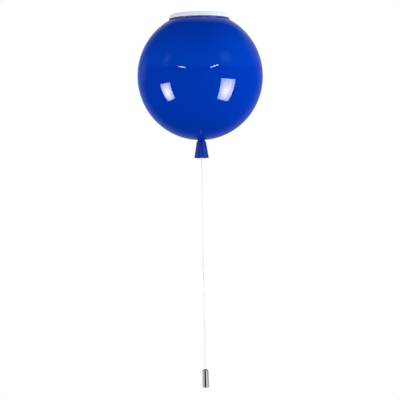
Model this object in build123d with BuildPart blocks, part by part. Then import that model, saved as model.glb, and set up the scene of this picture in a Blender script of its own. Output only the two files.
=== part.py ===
"""Flush ceiling light shaped like a party balloon, with a pull-cord switch.

Millimetres, +Z up, origin on the axis of the light in the plane of the ceiling.
The light hangs below the origin. -Y is the front and +X is the right-hand side.
"""

import os
from math import cos, pi, radians, sin, tau

from build123d import *

# Globe: a blown acrylic spheroid with a turned-in collar at the top
GLOBE_RADIUS = 125.0
GLOBE_HALF_HEIGHT = 127.3
GLOBE_CENTRE = -122.8
GLOBE_WALL = 2.5
GLOBE_HOLE_RADIUS = 5.2
COLLAR_RADIUS = 60.2
COLLAR_BORE = 53.5
COLLAR_TOP = -8.8
COLLAR_BOTTOM = -12.3
GLOBE_BOTTOM = GLOBE_CENTRE - GLOBE_HALF_HEIGHT

# Canopy pan: the white ring against the ceiling, with a cup that hides in the globe
SHEET = 1.2
RING_TOP_RADIUS = 56.5
RING_BASE_RADIUS = 60.5
RING_HEIGHT = 8.5
RING_SHOULDER = 2.6
CUP_RADIUS = 52.5
CUP_FLOOR = -30.0
FLOOR_TOP = CUP_FLOOR + SHEET
NOTCH_WIDTH = 4.0
NOTCH_HEIGHT = 2.5
NOTCH_ANGLE = -60.0
SIDE_NOTCH_WIDTH = 26.0
SIDE_NOTCH_HEIGHT = 1.7
SIDE_NOTCH_ANGLE = -169.0
SMALL_SCREW_HOLE = 1.6
LAMP_WIRE_HOLE = 6.5

# Ceiling bracket and the two studs that carry the pan
STRAP_HALF_LENGTH = 48.0
STRAP_WIDTH = 20.0
STRAP_THICKNESS = 1.6
SLOT_SPACING = 51.0
SLOT_LENGTH = 12.0
SLOT_RADIUS = 2.25
CABLE_HOLE_RADIUS = 6.0
STUD_Y = 41.0
STUD_RADIUS = 2.0
STUD_HOLE_RADIUS = 2.25
STUD_END = -35.6
STUD_PLACES = [(0, STUD_Y), (0, -STUD_Y)]

# Lampholder and lamp, beside the cord
LAMP_X = -29.0
LAMP = (LAMP_X, 0)
HOLDER_RADIUS = 19.0
HOLDER_MOUTH_RADIUS = 17.5
HOLDER_BORE = 15.0
HOLDER_ROOF = -36.0
HOLDER_MOUTH = -66.0
HOLDER_SCREW_Y = 9.5
HOLDER_TERMINAL_X = 3.6
THREAD_PITCH = 3.6
CAP_CREST = 13.0
CAP_ROOT = 12.1
SHELL_CREST = 13.35
SHELL_ROOT = 14.2
LAMP_GLOBE_RADIUS = 22.5
LAMP_GLOBE_CENTRE = -95.0

# Pull switch, on the axis
SWITCH_LEFT = -8.0
SWITCH_RIGHT = 23.0
SWITCH_HALF_DEPTH = 9.0
SWITCH_WALL = 1.5
SWITCH_TOP = -5.8
ROTOR_X = 12.5
ROTOR_Z = -17.3
ROTOR_TIP = 8.0
ROTOR_HUB = 5.2
ROTOR_TEETH = 8
PULL_TRAVEL = 5.5
AXLE_RADIUS = 1.5
AXLE_RUNNING_FIT = 0.06
NOZZLE_RADIUS = 4.95
NOZZLE_BORE = 1.8
NOZZLE_END = -39.0
SPRING_RADIUS = 3.0
SPRING_WIRE = 0.28
SPRING_TURNS = 4.5

# Terminal block and earth point, on the floor of the pan
BLOCK_X = -22.0
BLOCK_Y = 27.0
BLOCK_LENGTH = 26.0
BLOCK_DEPTH = 14.0
BLOCK_HEIGHT = 13.0
POLE_PITCH = 8.5
POLE_Z = -22.3
EARTH = (24, -28)
EARTH_HOLE = 2.1
WIRE_RADIUS = 1.0

# Spring clips on the cup, which hold the collar of the globe
CLIP_ANGLES = (90, 210, 330)
CLIP_WIDTH = 9.0
CLIP_THICKNESS = 0.5
RIVET_Z = -25.0

# Balloon neck, its hollow bolt and the pull cord
NECK_TOP = GLOBE_BOTTOM - 0.9
NECK_BOTTOM = -286.0
NECK_TOP_RADIUS = 9.4
NECK_BOTTOM_RADIUS = 14.5
NECK_BOSS_RADIUS = 7.2
NECK_FLUTES = 6
NECK_FLUTE_DEPTH = 0.075
NECK_TURN = 5.0
NECK_WALL = 1.5
NECK_CAVITY_TOP = -265.0
BOLT_RADIUS = 5.0
BOLT_BORE = 2.0
BOLT_END = -263.0
CORD_RADIUS = 1.0
CORD_TOP = -9.6
CORD_END = -735.4
WEIGHT_TOP = -706.2
WEIGHT_BOTTOM = -743.0
WEIGHT_TOP_RADIUS = 6.2
WEIGHT_BOTTOM_RADIUS = 6.5
WEIGHT_TOP_BEVEL = 3.3
WEIGHT_BOTTOM_ROUND = 2.8
WEIGHT_POCKET_RADIUS = 3.6
WEIGHT_POCKET_TOP = -730.4
PLUG_THICKNESS = 3.0

os.makedirs("parts", exist_ok=True)


def keep(piece, name):
    """Label a finished piece and write it."""
    piece.part.label = name
    export_step(piece.part, f"parts/{name}.step")


def turned(name, points, centre=(0, 0)):
    """A turned piece from its (radius, height) outline, on a vertical axis."""
    half_plane = Plane(origin=(*centre, 0), x_dir=(1, 0, 0), z_dir=(0, -1, 0))
    with BuildPart() as piece:
        with BuildSketch(half_plane):
            with BuildLine():
                Polyline(*points, close=True)
            make_face()
        revolve(axis=Axis((*centre, 0), (0, 0, 1)))
    keep(piece, name)


def rings(name, inner, outer, low, high, places):
    """One or more flat washers or tubes."""
    with BuildPart() as piece:
        with Locations(*[(x, y, low) for x, y in places]):
            Cylinder(outer, high - low, align=(Align.CENTER, Align.CENTER, Align.MIN))
            Cylinder(inner, high - low, align=(Align.CENTER, Align.CENTER, Align.MIN), mode=Mode.SUBTRACT)
    keep(piece, name)


def zigzag(crest, root, low, high, pitch):
    """Outline of a thread's ridges, from low to high."""
    count = round((high - low) / pitch)
    step = (high - low) / count
    points = []
    for turn in range(count):
        points.append((root, low + turn * step))
        points.append((crest, low + (turn + 0.5) * step))
    points.append((root, high))
    return points


def upright(radius, low, high, mode=Mode.ADD):
    """A vertical cylinder between two levels, at the current locations."""
    middle = Location((0, 0, (low + high) / 2))
    with Locations(middle):
        Cylinder(radius, high - low, mode=mode)


def block(corner, opposite, mode=Mode.ADD):
    """A box between two opposite corners."""
    size = [b - a for a, b in zip(corner, opposite)]
    middle = tuple((a + b) / 2 for a, b in zip(corner, opposite))
    with Locations(middle):
        Box(*size, mode=mode)


def wire(name, points, bends):
    """An insulated conductor along straight runs joined by arcs."""
    with BuildPart() as piece:
        with BuildLine() as route:
            FilletPolyline(*points, radius=bends)
        with BuildSketch(Plane(origin=route.line @ 0, z_dir=route.line % 0)):
            Circle(WIRE_RADIUS)
        sweep()
    keep(piece, name)


# ---------------------------------------------------------------- ceiling bracket

with BuildPart() as ceiling_bracket:
    with BuildSketch(Plane.XY.offset(-STRAP_THICKNESS)):
        Rectangle(STRAP_WIDTH, 2 * STRAP_HALF_LENGTH)
        fillet(vertices(), 5)
        with Locations((0, SLOT_SPACING / 2), (0, -SLOT_SPACING / 2)):
            SlotOverall(SLOT_LENGTH, 2 * SLOT_RADIUS, rotation=90, mode=Mode.SUBTRACT)
        Circle(CABLE_HOLE_RADIUS, mode=Mode.SUBTRACT)
        with Locations(*STUD_PLACES):
            Circle(STUD_RADIUS + 0.1, mode=Mode.SUBTRACT)
    extrude(amount=STRAP_THICKNESS)
keep(ceiling_bracket, "ceiling_bracket")

with BuildPart() as bracket_studs:
    with BuildSketch(Plane.XY.offset(STUD_END)):
        with Locations(*STUD_PLACES):
            Circle(STUD_RADIUS)
    extrude(amount=-STUD_END - 0.2)
    with BuildSketch(Plane.XY.offset(-STRAP_THICKNESS - 1.2)):
        with Locations(*STUD_PLACES):
            Circle(3.6)
    extrude(amount=1.2)
    chamfer(bracket_studs.faces().sort_by(Axis.Z)[:2].edges(), 0.4)
keep(bracket_studs, "bracket_studs")

rings("stud_washers", STUD_RADIUS + 0.15, 4.5, CUP_FLOOR - 0.8, CUP_FLOOR, STUD_PLACES)

CAP_NUT_TOP = CUP_FLOOR - 0.8
CAP_NUT_HEX = 3.4
CAP_NUT_DOME = 3.4
with BuildPart() as cap_nuts:
    with BuildSketch(Plane.XY.offset(CAP_NUT_TOP - CAP_NUT_HEX)):
        with Locations(*STUD_PLACES):
            RegularPolygon(3.5, 6, major_radius=False)
    extrude(amount=CAP_NUT_HEX)
    with BuildSketch(Plane.XY.offset(CAP_NUT_TOP - CAP_NUT_HEX - CAP_NUT_DOME)):
        with Locations(*STUD_PLACES):
            Circle(3.2)
    extrude(amount=CAP_NUT_DOME)
    fillet(cap_nuts.faces().sort_by(Axis.Z)[:2].edges(), 2.6)
    with BuildSketch(Plane.XY.offset(STUD_END - 0.4)):
        with Locations(*STUD_PLACES):
            Circle(STUD_RADIUS + 0.05)
    extrude(amount=CAP_NUT_TOP - STUD_END + 0.4, mode=Mode.SUBTRACT)
keep(cap_nuts, "cap_nuts")

# --------------------------------------------------------------------- canopy pan

BLOCK_SCREW = (BLOCK_X - POLE_PITCH / 2, BLOCK_Y)
HOLDER_SCREWS = [(LAMP_X, HOLDER_SCREW_Y), (LAMP_X, -HOLDER_SCREW_Y)]
with BuildPart() as canopy_pan:
    with BuildSketch(Plane.XZ):
        with BuildLine():
            Polyline(
                (0, CUP_FLOOR),
                (CUP_RADIUS, CUP_FLOOR),
                (CUP_RADIUS, -RING_HEIGHT),
                (RING_BASE_RADIUS, -RING_HEIGHT),
                (RING_TOP_RADIUS + RING_SHOULDER * 0.75, -RING_SHOULDER),
                (RING_TOP_RADIUS, 0),
                (RING_TOP_RADIUS - SHEET, 0),
                (RING_TOP_RADIUS + RING_SHOULDER * 0.75 - SHEET, -RING_SHOULDER - SHEET / 2),
                (RING_BASE_RADIUS - SHEET, SHEET - RING_HEIGHT),
                (CUP_RADIUS - SHEET, SHEET - RING_HEIGHT),
                (CUP_RADIUS - SHEET, FLOOR_TOP),
                (0, FLOOR_TOP),
                close=True,
            )
        make_face()
    revolve(axis=Axis.Z)
    shoulder = canopy_pan.edges().filter_by(GeomType.CIRCLE).filter_by(
        lambda e: abs(e.center().Z + RING_SHOULDER) < 0.01 and abs(e.radius - RING_TOP_RADIUS) < 3
    )
    fillet(shoulder, 1.6)
    cup_corner = canopy_pan.edges().filter_by(GeomType.CIRCLE).filter_by(
        lambda e: abs(e.center().Z - CUP_FLOOR) < 0.01 and abs(e.radius - CUP_RADIUS) < 0.1
    )
    fillet(cup_corner, 1.0)
    with BuildSketch(Plane.XY.offset(CUP_FLOOR)):
        Circle(NOZZLE_RADIUS + 0.2)
        with Locations(*STUD_PLACES):
            Circle(STUD_HOLE_RADIUS)
        with Locations(LAMP):
            Circle(LAMP_WIRE_HOLE)
        with Locations(*HOLDER_SCREWS, BLOCK_SCREW):
            Circle(SMALL_SCREW_HOLE)
        with Locations(EARTH):
            Circle(EARTH_HOLE)
    extrude(amount=SHEET, mode=Mode.SUBTRACT)
    with PolarLocations(RING_TOP_RADIUS, 1, start_angle=NOTCH_ANGLE):
        Box(14, NOTCH_WIDTH, 2 * NOTCH_HEIGHT, mode=Mode.SUBTRACT)
    with PolarLocations(RING_TOP_RADIUS, 1, start_angle=SIDE_NOTCH_ANGLE):
        Box(14, SIDE_NOTCH_WIDTH, 2 * SIDE_NOTCH_HEIGHT, mode=Mode.SUBTRACT)
    with PolarLocations(CUP_RADIUS - SHEET / 2, len(CLIP_ANGLES), start_angle=CLIP_ANGLES[0]):
        with Locations(Location((0, 0, RIVET_Z), (0, 90, 0))):
            Cylinder(1.65, 4, mode=Mode.SUBTRACT)
keep(canopy_pan, "canopy_pan")

# Each clip is a bowed strip: riveted low on the cup, its sloping top holds the collar.
CLIP_BOW = 56.6
CLIP_OUTLINE = [
    (CUP_RADIUS, RIVET_Z - 3.5),
    (CUP_RADIUS, RIVET_Z + 3.0),
    (CLIP_BOW, -17.0),
    (CUP_RADIUS + 0.9, -13.3),
]
with BuildPart() as spring_clips:
    for angle in CLIP_ANGLES:
        upright_plane = Plane(
            origin=(0, 0, 0),
            x_dir=(cos(radians(angle)), sin(radians(angle)), 0),
            z_dir=(sin(radians(angle)), -cos(radians(angle)), 0),
        )
        with BuildSketch(upright_plane) as strip:
            with BuildLine():
                centre_line = FilletPolyline(
                    *[(r + CLIP_THICKNESS / 2, z) for r, z in CLIP_OUTLINE], radius=1.5
                )
                offset(centre_line, amount=CLIP_THICKNESS / 2)
            make_face()
        extrude(amount=CLIP_WIDTH / 2, both=True)
    with PolarLocations(CUP_RADIUS, len(CLIP_ANGLES), start_angle=CLIP_ANGLES[0]):
        with Locations(Location((0, 0, RIVET_Z), (0, 90, 0))):
            Cylinder(1.65, 5, mode=Mode.SUBTRACT)
keep(spring_clips, "spring_clips")

with BuildPart() as clip_rivets:
    with PolarLocations(CUP_RADIUS - SHEET, len(CLIP_ANGLES), start_angle=CLIP_ANGLES[0]):
        with Locations(Location((-0.9, 0, RIVET_Z), (0, 90, 0))):
            Cylinder(2.6, 0.8, align=(Align.CENTER, Align.CENTER, Align.MIN))
            Cylinder(1.6, 3.3, align=(Align.CENTER, Align.CENTER, Align.MIN))
        with Locations(Location((SHEET + CLIP_THICKNESS + 0.02, 0, RIVET_Z), (0, 90, 0))):
            Cylinder(2.8, 0.8, align=(Align.CENTER, Align.CENTER, Align.MIN))
keep(clip_rivets, "clip_rivets")

# ------------------------------------------------------------------ terminal block

BLOCK_TOP = FLOOR_TOP + BLOCK_HEIGHT
POLES = [BLOCK_X - POLE_PITCH, BLOCK_X, BLOCK_X + POLE_PITCH]
POLE_SCREWS = [(x, BLOCK_Y + side * 4.2) for x in POLES for side in (-1, 1)]
with BuildPart() as terminal_block:
    with BuildSketch(Plane.XY.offset(FLOOR_TOP)):
        with Locations((BLOCK_X, BLOCK_Y)):
            Rectangle(BLOCK_LENGTH, BLOCK_DEPTH)
        fillet(vertices(), 1.0)
        with Locations(BLOCK_SCREW):
            Circle(1.7, mode=Mode.SUBTRACT)
    extrude(amount=BLOCK_HEIGHT)
    with Locations(*[Location((x, BLOCK_Y, POLE_Z), (90, 0, 0)) for x in POLES]):
        Cylinder(2.5, BLOCK_DEPTH + 2, mode=Mode.SUBTRACT)
    with BuildSketch(Plane.XY.offset(POLE_Z)):
        with Locations(*POLE_SCREWS):
            Circle(1.9)
    extrude(amount=BLOCK_TOP - POLE_Z, mode=Mode.SUBTRACT)
    with BuildSketch(Plane.XY.offset(BLOCK_TOP - 4)):
        with Locations((BLOCK_X + POLE_PITCH / 2, BLOCK_Y)):
            Rectangle(1.2, BLOCK_DEPTH)
    extrude(amount=4, mode=Mode.SUBTRACT)
keep(terminal_block, "terminal_block")

with BuildPart() as terminal_inserts:
    with Locations(*[Location((x, BLOCK_Y, POLE_Z), (90, 0, 0)) for x in POLES]):
        Cylinder(2.4, BLOCK_DEPTH - 1)
        Cylinder(1.3, BLOCK_DEPTH, mode=Mode.SUBTRACT)
    with BuildSketch(Plane.XY.offset(POLE_Z)):
        with Locations(*POLE_SCREWS):
            Circle(1.5)
    extrude(amount=3, mode=Mode.SUBTRACT)
keep(terminal_inserts, "terminal_inserts")

with BuildPart() as terminal_screws:
    with BuildSketch(Plane.XY.offset(POLE_Z + 1.15)):
        with Locations(*POLE_SCREWS):
            Circle(1.45)
    extrude(amount=5.0)
    with BuildSketch(Plane.XY.offset(POLE_Z + 1.15 + 4.3)):
        with Locations(*POLE_SCREWS):
            Rectangle(3.2, 0.6)
    extrude(amount=1, mode=Mode.SUBTRACT)
keep(terminal_screws, "terminal_screws")

with BuildPart() as terminal_block_screw:
    with Locations(BLOCK_SCREW):
        upright(1.5, CUP_FLOOR - 3, BLOCK_TOP)
        upright(2.6, BLOCK_TOP, BLOCK_TOP + 1.6)
        with Locations((0, 0, BLOCK_TOP + 1.6)):
            Box(5.4, 0.8, 1.4, mode=Mode.SUBTRACT)
keep(terminal_block_screw, "terminal_block_screw")

# --------------------------------------------------------------------- earth point

TAG_THICKNESS = 0.8
with BuildPart() as earth_tag:
    with BuildSketch(Plane.XY.offset(FLOOR_TOP)):
        with Locations(EARTH):
            Circle(4.2)
        with Locations((EARTH[0] - 5.5, EARTH[1])):
            Rectangle(6, 3.4)
        with Locations(EARTH):
            Circle(EARTH_HOLE, mode=Mode.SUBTRACT)
    extrude(amount=TAG_THICKNESS)
    with Locations(Location((EARTH[0] - 8.5, EARTH[1], FLOOR_TOP + 1.9), (0, 90, 0))):
        Cylinder(1.75, 5)
        Cylinder(1.15, 5, mode=Mode.SUBTRACT)
keep(earth_tag, "earth_tag")

rings("earth_washer", EARTH_HOLE, 4.4, FLOOR_TOP + TAG_THICKNESS, FLOOR_TOP + 1.6, [EARTH])

with BuildPart() as earth_screw:
    with Locations(EARTH):
        upright(2.0, CUP_FLOOR - 5, FLOOR_TOP + 1.6)
        upright(3.9, FLOOR_TOP + 1.6, FLOOR_TOP + 4.0)
        with Locations((0, 0, FLOOR_TOP + 4.0)):
            Box(1.0, 8, 2.0, mode=Mode.SUBTRACT)
keep(earth_screw, "earth_screw")

with BuildPart() as earth_nut:
    with BuildSketch(Plane.XY.offset(CUP_FLOOR - 3.2)):
        with Locations(EARTH):
            RegularPolygon(3.5, 6, major_radius=False)
            Circle(2.05, mode=Mode.SUBTRACT)
    extrude(amount=3.2)
keep(earth_nut, "earth_nut")

# --------------------------------------------------------------------- lampholder

with BuildPart() as holder_body:
    with BuildSketch(Plane(origin=(LAMP_X, 0, 0), x_dir=(1, 0, 0), z_dir=(0, -1, 0))):
        with BuildLine():
            Polyline(
                (0, CUP_FLOOR),
                (HOLDER_RADIUS, CUP_FLOOR),
                (HOLDER_RADIUS, CUP_FLOOR - 5),
                (HOLDER_RADIUS - 1.0, CUP_FLOOR - 7),
                (HOLDER_MOUTH_RADIUS, HOLDER_MOUTH + 3),
                (HOLDER_MOUTH_RADIUS + 0.8, HOLDER_MOUTH + 2),
                (HOLDER_MOUTH_RADIUS + 0.8, HOLDER_MOUTH),
                (HOLDER_BORE, HOLDER_MOUTH),
                (HOLDER_BORE, HOLDER_ROOF),
                (0, HOLDER_ROOF),
                close=True,
            )
        make_face()
    revolve(axis=Axis((LAMP_X, 0, 0), (0, 0, 1)))
    with BuildSketch(Plane.XY.offset(HOLDER_ROOF)):
        with Locations(LAMP):
            Circle(LAMP_WIRE_HOLE)
        with Locations(*HOLDER_SCREWS):
            Circle(SMALL_SCREW_HOLE)
    extrude(amount=CUP_FLOOR - HOLDER_ROOF, mode=Mode.SUBTRACT)
keep(holder_body, "holder_body")

INSERT_LOW = -38.6
with BuildPart() as holder_insert:
    with BuildSketch(Plane.XY.offset(INSERT_LOW)):
        with Locations(LAMP):
            Circle(HOLDER_BORE - 0.1)
        with Locations(*HOLDER_SCREWS):
            Circle(SMALL_SCREW_HOLE, mode=Mode.SUBTRACT)
    extrude(amount=HOLDER_ROOF - INSERT_LOW)
keep(holder_insert, "holder_insert")

with BuildPart() as holder_screws:
    with Locations(*HOLDER_SCREWS):
        upright(1.5, INSERT_LOW, FLOOR_TOP + 2)
        upright(2.7, INSERT_LOW - 1.5, INSERT_LOW)
        with Locations((0, 0, INSERT_LOW - 1.5)):
            Box(0.8, 6, 1.4, mode=Mode.SUBTRACT)
keep(holder_screws, "holder_screws")

TERMINAL_PLACES = [(LAMP_X - HOLDER_TERMINAL_X, 0), (LAMP_X + HOLDER_TERMINAL_X, 0)]
with BuildPart() as holder_terminals:
    with BuildSketch(Plane.XY.offset(HOLDER_ROOF)):
        with Locations(*TERMINAL_PLACES):
            Rectangle(4.6, 5.4)
            Circle(1.2, mode=Mode.SUBTRACT)
    extrude(amount=4.2)
keep(holder_terminals, "holder_terminals")

SHELL_TOP = INSERT_LOW - 2.4
SHELL_LOW = HOLDER_MOUTH + 4
turned(
    "screw_shell",
    [(SHELL_ROOT + 0.5, SHELL_LOW)]
    + zigzag(SHELL_CREST, SHELL_ROOT, SHELL_LOW, SHELL_TOP, THREAD_PITCH)
    + [(SHELL_ROOT + 0.5, SHELL_TOP)],
    LAMP,
)

CONTACT_WIDTH = 6.0
with BuildPart() as centre_contact:
    with BuildSketch(Plane.XZ.offset(-CONTACT_WIDTH / 2)):
        with BuildLine():
            spring_line = FilletPolyline(
                (LAMP_X - 5.5, INSERT_LOW - 0.25),
                (LAMP_X - 2.5, INSERT_LOW - 0.25),
                (LAMP_X - 1.0, INSERT_LOW - 1.9),
                (LAMP_X + 3.5, INSERT_LOW - 1.9),
                radius=0.8,
            )
            offset(spring_line, amount=0.25)
        make_face()
    extrude(amount=CONTACT_WIDTH)
keep(centre_contact, "centre_contact")

# --------------------------------------------------------------------------- lamp

TIP_TOP = INSERT_LOW - 2.6
TIP_LOW = TIP_TOP - 1.6
INSULATOR_LOW = TIP_TOP - 7.6
INSULATOR_RADIUS = 11.4
CAP_TOP = TIP_TOP - 6.0
CAP_LOW = HOLDER_MOUTH - 0.6
CAP_INNER = INSULATOR_RADIUS + 0.2
HOUSING_LOW = CAP_LOW - 18
HOUSING_FLOOR = CAP_LOW - 7
turned(
    "bulb_tip",
    [(0, TIP_TOP), (3.4, TIP_TOP), (4.8, TIP_TOP - 0.9), (4.8, TIP_LOW), (0, TIP_LOW)],
    LAMP,
)
turned(
    "bulb_insulator",
    [
        (0, TIP_LOW),
        (6.2, TIP_LOW),
        (INSULATOR_RADIUS, CAP_TOP),
        (INSULATOR_RADIUS, INSULATOR_LOW),
        (0, INSULATOR_LOW),
    ],
    LAMP,
)
turned(
    "bulb_cap",
    [(CAP_INNER, CAP_LOW), (CAP_CREST, CAP_LOW), (CAP_CREST, CAP_LOW + 1.5)]
    + zigzag(CAP_CREST, CAP_ROOT, CAP_LOW + 2, CAP_TOP, THREAD_PITCH)
    + [(CAP_INNER, CAP_TOP)],
    LAMP,
)
with BuildPart() as bulb_housing:
    with BuildSketch(Plane(origin=(LAMP_X, 0, 0), x_dir=(1, 0, 0), z_dir=(0, -1, 0))):
        with BuildLine():
            Polyline(
                (0, INSULATOR_LOW),
                (INSULATOR_RADIUS, INSULATOR_LOW),
                (INSULATOR_RADIUS, CAP_LOW),
                (14.2, CAP_LOW),
            )
            Spline(
                (14.2, CAP_LOW),
                (17.2, CAP_LOW - 8),
                (21.2, HOUSING_LOW),
                tangents=[(0.1, -1), (0.5, -1)],
            )
            Polyline(
                (21.2, HOUSING_LOW),
                (19.2, HOUSING_LOW),
                (14.0, HOUSING_FLOOR),
                (0, HOUSING_FLOOR),
                (0, INSULATOR_LOW),
            )
        make_face()
    revolve(axis=Axis((LAMP_X, 0, 0), (0, 0, 1)))
keep(bulb_housing, "bulb_housing")

with BuildPart() as bulb_diffuser:
    with Locations((LAMP_X, 0, LAMP_GLOBE_CENTRE)):
        Sphere(LAMP_GLOBE_RADIUS)
        Sphere(LAMP_GLOBE_RADIUS - 1.2, mode=Mode.SUBTRACT)
    split(bisect_by=Plane.XY.offset(HOUSING_LOW - 0.1), keep=Keep.BOTTOM)
keep(bulb_diffuser, "bulb_diffuser")

with BuildPart() as led_board:
    with Locations(Location((*LAMP, 0))):
        upright(13.0, HOUSING_FLOOR - 3.2, HOUSING_FLOOR - 1.4)
    with BuildSketch(Plane.XY.offset(HOUSING_FLOOR - 4.0)):
        with Locations(LAMP):
            with PolarLocations(8, 8):
                Rectangle(2.8, 3.5)
    extrude(amount=0.8)
keep(led_board, "led_board")

# -------------------------------------------------------------------- pull switch

CAVITY_LEFT = SWITCH_LEFT + SWITCH_WALL
CAVITY_RIGHT = SWITCH_RIGHT - SWITCH_WALL
CAVITY_HALF = SWITCH_HALF_DEPTH - SWITCH_WALL
CAVITY_LOW = FLOOR_TOP + SWITCH_WALL
CAVITY_TOP = SWITCH_TOP - SWITCH_WALL
AXLE_END = SWITCH_HALF_DEPTH - 0.4
CONTACT_LEVELS = (ROTOR_Z + 5.5, ROTOR_Z - 5.5)
BLADE_FRONT = 4.5
BLADE_BACK = 5.1
with BuildPart() as switch_housing:
    block((SWITCH_LEFT, -SWITCH_HALF_DEPTH, FLOOR_TOP), (SWITCH_RIGHT, CAVITY_HALF, SWITCH_TOP))
    fillet(switch_housing.edges().filter_by(Axis.Y), 1.2)
    block(
        (CAVITY_LEFT, -CAVITY_HALF, CAVITY_LOW),
        (CAVITY_RIGHT, CAVITY_HALF, CAVITY_TOP),
        Mode.SUBTRACT,
    )
    upright(NOZZLE_RADIUS + 0.05, FLOOR_TOP, CAVITY_LOW, Mode.SUBTRACT)
    with Locations(Location((ROTOR_X, 0, ROTOR_Z), (90, 0, 0))):
        Cylinder(AXLE_RADIUS + AXLE_RUNNING_FIT, 2 * (AXLE_END + 0.1), mode=Mode.SUBTRACT)
    for level in CONTACT_LEVELS:
        block(
            (CAVITY_RIGHT - 1, BLADE_FRONT - 0.05, level - 1.55),
            (SWITCH_RIGHT + 1, BLADE_BACK + 0.05, level + 1.55),
            Mode.SUBTRACT,
        )
keep(switch_housing, "switch_housing")

with BuildPart() as switch_cover:
    block((SWITCH_LEFT, CAVITY_HALF, FLOOR_TOP), (SWITCH_RIGHT, SWITCH_HALF_DEPTH, SWITCH_TOP))
    fillet(switch_cover.edges().filter_by(Axis.Y), 1.2)
    block(
        (CAVITY_LEFT + 0.1, CAVITY_HALF - 1, CAVITY_TOP - 2),
        (ROTOR_X - 9, CAVITY_HALF, CAVITY_TOP - 0.1),
    )
    with Locations(Location((ROTOR_X, 0, ROTOR_Z), (90, 0, 0))):
        Cylinder(AXLE_RADIUS + AXLE_RUNNING_FIT, 2 * (AXLE_END + 0.1), mode=Mode.SUBTRACT)
keep(switch_cover, "switch_cover")

with BuildPart() as fixed_contacts:
    for level in CONTACT_LEVELS:
        block((ROTOR_X + 2.0, BLADE_FRONT, level - 1.5), (SWITCH_RIGHT + 2.4, BLADE_BACK, level + 1.5))
        block((SWITCH_RIGHT + 2.2, 2.2, level - 2.4), (SWITCH_RIGHT + 7.0, 7.2, level + 2.4))
        with Locations(Location((SWITCH_RIGHT + 4.6, 4.7, level), (90, 0, 0))):
            Cylinder(1.2, 6, mode=Mode.SUBTRACT)
keep(fixed_contacts, "fixed_contacts")

turned(
    "switch_nozzle",
    [
        (NOZZLE_BORE, NOZZLE_END),
        (NOZZLE_RADIUS - 1.2, NOZZLE_END),
        (NOZZLE_RADIUS - 0.45, NOZZLE_END + 0.8),
    ]
    + zigzag(NOZZLE_RADIUS, NOZZLE_RADIUS - 0.45, NOZZLE_END + 1, CUP_FLOOR - 1, 1.0)
    + [
        (NOZZLE_RADIUS, CUP_FLOOR - 0.5),
        (NOZZLE_RADIUS, CAVITY_LOW),
        (6.0, CAVITY_LOW),
        (6.0, CAVITY_LOW + 1.0),
        (NOZZLE_BORE, CAVITY_LOW + 1.0),
    ],
)
rings("nozzle_washer", NOZZLE_RADIUS + 0.1, 7.4, CUP_FLOOR - 0.8, CUP_FLOOR, [(0, 0)])
with BuildPart() as nozzle_nut:
    with BuildSketch(Plane.XY.offset(CUP_FLOOR - 3.8)):
        RegularPolygon(6.5, 6, major_radius=False)
        Circle(NOZZLE_RADIUS + 0.03, mode=Mode.SUBTRACT)
    extrude(amount=3.0)
keep(nozzle_nut, "nozzle_nut")

# The shuttle's finger stands between two teeth of the rotor and carries it round.
SHUTTLE_TOP = -11.6
SHUTTLE_LOW = -17.6
FINGER_Z = ROTOR_Z + PULL_TRAVEL / 2
with BuildPart() as switch_shuttle:
    block((CAVITY_LEFT + 0.4, -4.6, SHUTTLE_LOW), (3.6, 4.6, SHUTTLE_TOP))
    fillet(switch_shuttle.edges().filter_by(Axis.Z), 0.8)
    block((3.4, -2.5, FINGER_Z - 0.8), (6.3, 2.5, FINGER_Z + 0.8))
    upright(CORD_RADIUS + 0.15, SHUTTLE_LOW, SHUTTLE_TOP, Mode.SUBTRACT)
keep(switch_shuttle, "switch_shuttle")

turned(
    "cord_ferrule",
    [
        (CORD_RADIUS + 0.03, SHUTTLE_TOP),
        (2.0, SHUTTLE_TOP),
        (2.0, SHUTTLE_TOP + 1.9),
        (1.6, SHUTTLE_TOP + 2.4),
        (CORD_RADIUS + 0.03, SHUTTLE_TOP + 2.4),
    ],
)

SPRING_LOW = CAVITY_LOW + 1.0 + SPRING_WIRE + 0.05
SPRING_HIGH = SHUTTLE_LOW - SPRING_WIRE - 0.3
with BuildPart() as return_spring:
    with BuildLine(Plane.XY.offset(SPRING_LOW)):
        coil = Helix((SPRING_HIGH - SPRING_LOW) / SPRING_TURNS, SPRING_HIGH - SPRING_LOW, SPRING_RADIUS)
    with BuildSketch(Plane(origin=coil @ 0, z_dir=coil % 0)):
        Circle(SPRING_WIRE)
    sweep()
keep(return_spring, "return_spring")

with BuildPart() as switch_rotor:
    with BuildSketch(Plane.XZ.offset(-3.0)):
        with Locations((ROTOR_X, ROTOR_Z)):
            Circle(ROTOR_HUB)
            with PolarLocations((ROTOR_TIP + 3) / 2, ROTOR_TEETH):
                Rectangle(ROTOR_TIP - 3, 2.0)
    extrude(amount=6.0)
    with Locations(Location((ROTOR_X, 0, ROTOR_Z), (90, 0, 0))):
        Cylinder(AXLE_RADIUS, 2 * AXLE_END)
keep(switch_rotor, "switch_rotor")

CONTACT_BRIDGE_TOP = BLADE_FRONT - 0.35
with BuildPart() as rotor_contact:
    with BuildSketch(Plane.XZ.offset(-CONTACT_BRIDGE_TOP)):
        with Locations((ROTOR_X, ROTOR_Z)):
            Circle(3.6)
            Rectangle(14.4, 3.0)
            Rectangle(3.0, 14.4)
            Circle(AXLE_RADIUS + 0.05, mode=Mode.SUBTRACT)
    extrude(amount=CONTACT_BRIDGE_TOP - 3.0)
keep(rotor_contact, "rotor_contact")

# -------------------------------------------------------------------------- wires

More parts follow.
